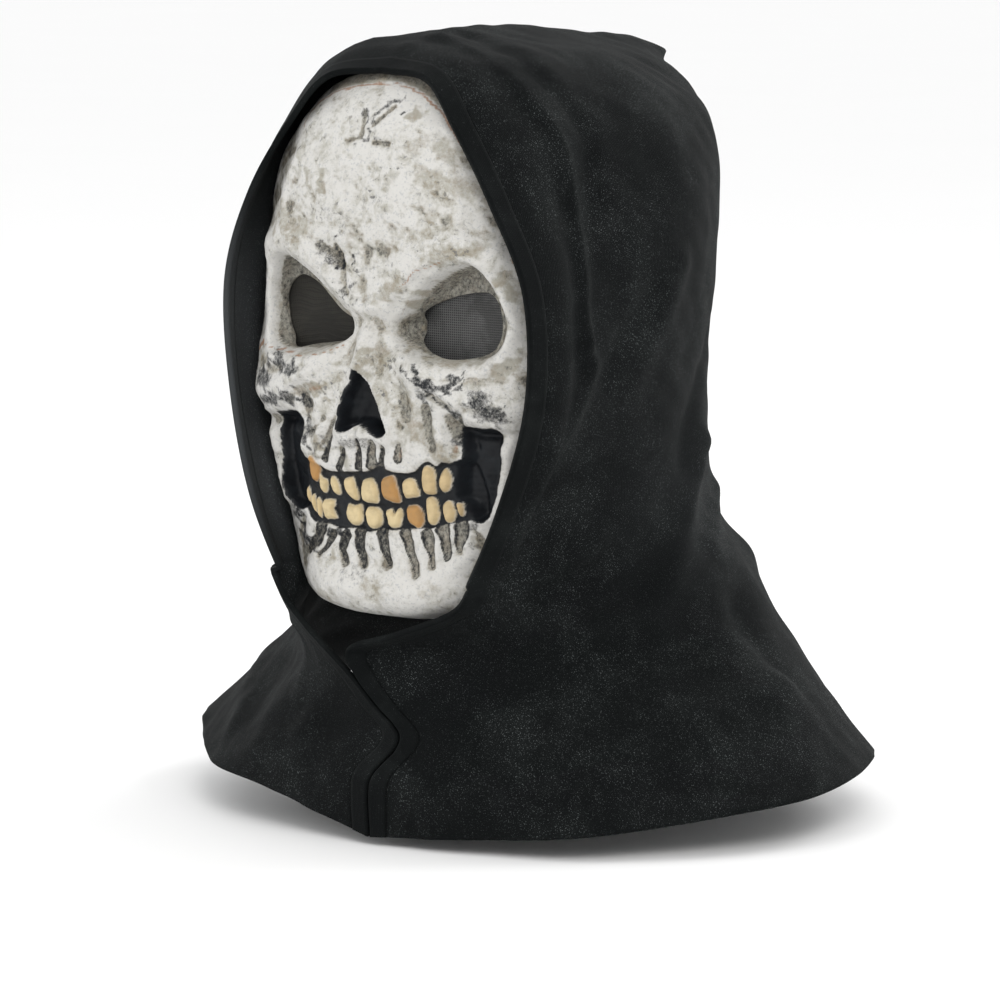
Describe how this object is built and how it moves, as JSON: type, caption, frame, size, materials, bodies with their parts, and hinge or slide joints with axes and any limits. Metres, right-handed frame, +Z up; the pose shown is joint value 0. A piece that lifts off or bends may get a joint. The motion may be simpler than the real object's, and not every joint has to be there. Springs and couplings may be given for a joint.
{
  "type": "hooded skull mask",
  "caption": "Moulded skull face mask with net-backed eye holes, held in a black knit hood that falls to a short shoulder cape with an open front",
  "frame": {"origin": "inside the crown of the hood, where the top of the head bears, on the plane of symmetry", "axes": "+Z is up, the face looks along -Y, and +X is the wearer's left"},
  "size_m": [0.3319, 0.2757, 0.3516],
  "materials": {
    "painted_bone": "thin moulded latex, painted off-white with dark dry-brushed weathering, amber teeth and black hollows",
    "eye_net": "fine black woven net, see-through at close range",
    "black_knit": "thin black warp-knit cloth with fine cross courses, slightly sheer as one layer",
    "hem_knit": "the same black knit, turned double and sewn"
  },
  "bodies": {
    "root": {"face_shell": "painted_bone", "eye_screen_left": "eye_net", "eye_screen_right": "eye_net", "hood": "black_knit", "opening_hem": "hem_knit"}
  },
  "joints": []
}
